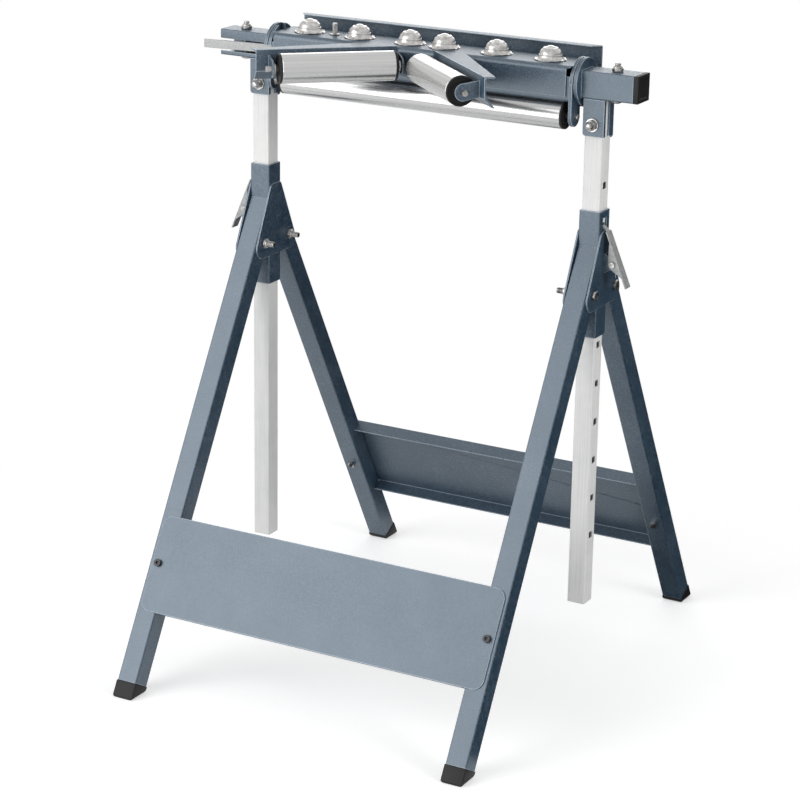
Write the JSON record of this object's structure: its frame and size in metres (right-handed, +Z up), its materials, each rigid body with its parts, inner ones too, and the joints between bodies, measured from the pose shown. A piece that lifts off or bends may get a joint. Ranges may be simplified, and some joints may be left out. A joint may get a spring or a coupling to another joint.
{
  "type": "roller stand",
  "caption": "Folding trestle stand, adjustable in height, with a turning head that has ball castors, a long roller, rollers in a V and a flat rest.",
  "frame": {"origin": "on the floor, below the middle of the stand's bounding box, legs open and posts on their latched holes", "axes": "+Z up, X along the head and its long roller, the rollers in a V stand out towards -Y"},
  "size_m": [0.652, 0.7482, 0.8861],
  "materials": {
    "paint": "blue-grey powder coat",
    "post_steel": "satin silver",
    "zinc": "zinc plated",
    "roller_steel": "brushed lengthways",
    "ball_steel": "polished",
    "black_plastic": "matt black"
  },
  "bodies": {
    "support": {"sleeve_left": "paint", "sleeve_right": "paint", "cheek_plates_left": "paint", "cheek_plates_right": "paint", "leg_pivot_bolts": "zinc", "leg_pivot_nuts": "zinc", "latch_bracket_left": "paint", "latch_bracket_right": "paint", "latch_pins": "zinc", "latch_springs": "zinc"},
    "front_legs": {"front_leg_left": "paint", "front_leg_right": "paint", "front_panel": "paint", "front_feet": "black_plastic", "front_panel_screws": "black_plastic", "front_panel_nuts": "zinc"},
    "rear_legs": {"rear_leg_left": "paint", "rear_leg_right": "paint", "rear_panel": "paint", "rear_feet": "black_plastic", "rear_panel_screws": "black_plastic", "rear_panel_nuts": "zinc"},
    "posts": {"post_left": "post_steel", "post_right": "post_steel", "arm_left": "paint", "arm_right": "paint", "front_brackets": "paint", "rear_brackets": "paint", "post_bolts": "zinc", "post_washers": "zinc", "arm_bolts": "zinc", "post_and_arm_nuts": "zinc", "arm_end_cap": "black_plastic", "pivot_pins": "zinc"},
    "head": {"ball_plate": "paint", "beam_channel": "paint", "rest_plate": "paint", "end_plate_left": "paint", "end_plate_right": "paint", "castor_housings": "zinc", "v_bracket_left": "paint", "v_bracket_right": "paint", "roller_axles": "zinc", "axle_nuts": "zinc", "plate_stud": "zinc"},
    "latch_left": {"latch_left": "zinc"},
    "latch_right": {"latch_right": "zinc"},
    "index_lever": {"index_lever": "zinc"},
    "long_roller": {"long_roller": "roller_steel", "long_roller_caps": "black_plastic"},
    "v_roller_left": {"v_roller_left": "roller_steel", "v_roller_caps_left": "black_plastic"},
    "v_roller_right": {"v_roller_right": "roller_steel", "v_roller_caps_right": "black_plastic"},
    "ball_1": {"ball_1": "ball_steel"},
    "ball_2": {"ball_2": "ball_steel"},
    "ball_3": {"ball_3": "ball_steel"},
    "ball_4": {"ball_4": "ball_steel"},
    "ball_5": {"ball_5": "ball_steel"},
    "ball_6": {"ball_6": "ball_steel"}
  },
  "joints": [
    {"name": "front_legs_fold", "type": "hinge", "parent": "support", "child": "front_legs", "pos_m": [0.0095, -0.0327, 0.569], "axis": [1, 0, 0], "range_deg": [0, 29.6]},
    {"name": "rear_legs_fold", "type": "hinge", "parent": "support", "child": "rear_legs", "pos_m": [0.0095, 0.0327, 0.569], "axis": [-1, 0, 0], "range_deg": [0, 29.6]},
    {"name": "height", "type": "slide", "parent": "support", "child": "posts", "axis": [0, 0, 1], "range_m": [-0.0543, 0.4344]},
    {"name": "head_turn", "type": "hinge", "parent": "posts", "child": "head", "pos_m": [0.0095, 0, 0.8436], "axis": [1, 0, 0], "continuous": true},
    {"name": "long_roller_turn", "type": "hinge", "parent": "head", "child": "long_roller", "pos_m": [0.0095, -0.0195, 0.8006], "axis": [1, 0, 0], "continuous": true},
    {"name": "v_roller_left_turn", "type": "hinge", "parent": "head", "child": "v_roller_left", "pos_m": [-0.067, -0.1065, 0.847], "axis": [-0.7431, -0.6691, 0], "continuous": true},
    {"name": "v_roller_right_turn", "type": "hinge", "parent": "head", "child": "v_roller_right", "pos_m": [0.086, -0.1065, 0.847], "axis": [0.7431, -0.6691, 0], "continuous": true},
    {"name": "ball_1_roll", "type": "hinge", "parent": "head", "child": "ball_1", "pos_m": [-0.173, 0, 0.8771], "axis": [1, 0, 0], "continuous": true},
    {"name": "ball_2_roll", "type": "hinge", "parent": "head", "child": "ball_2", "pos_m": [-0.09452, 0, 0.8771], "axis": [1, 0, 0], "continuous": true},
    {"name": "ball_3_roll", "type": "hinge", "parent": "head", "child": "ball_3", "pos_m": [-0.01651, 0, 0.8771], "axis": [1, 0, 0], "continuous": true},
    {"name": "ball_4_roll", "type": "hinge", "parent": "head", "child": "ball_4", "pos_m": [0.03551, 0, 0.8771], "axis": [1, 0, 0], "continuous": true},
    {"name": "ball_5_roll", "type": "hinge", "parent": "head", "child": "ball_5", "pos_m": [0.11353, 0, 0.8771], "axis": [1, 0, 0], "continuous": true},
    {"name": "ball_6_roll", "type": "hinge", "parent": "head", "child": "ball_6", "pos_m": [0.192, 0, 0.8771], "axis": [1, 0, 0], "continuous": true},
    {"name": "latch_left_release", "type": "hinge", "parent": "support", "child": "latch_left", "pos_m": [-0.276, 0, 0.6065], "axis": [0, -1, 0], "range_deg": [0, 20], "stiffness_Nm_per_rad": 0.3, "springref_deg": -11.46},
    {"name": "latch_right_release", "type": "hinge", "parent": "support", "child": "latch_right", "pos_m": [0.295, 0, 0.6065], "axis": [0, 1, 0], "range_deg": [0, 20], "stiffness_Nm_per_rad": 0.3, "springref_deg": -11.46},
    {"name": "index_lever_release", "type": "hinge", "parent": "posts", "child": "index_lever", "pos_m": [-0.275, 0, 0.8356], "axis": [0, 0, -1], "range_deg": [0, 12]}
  ]
}
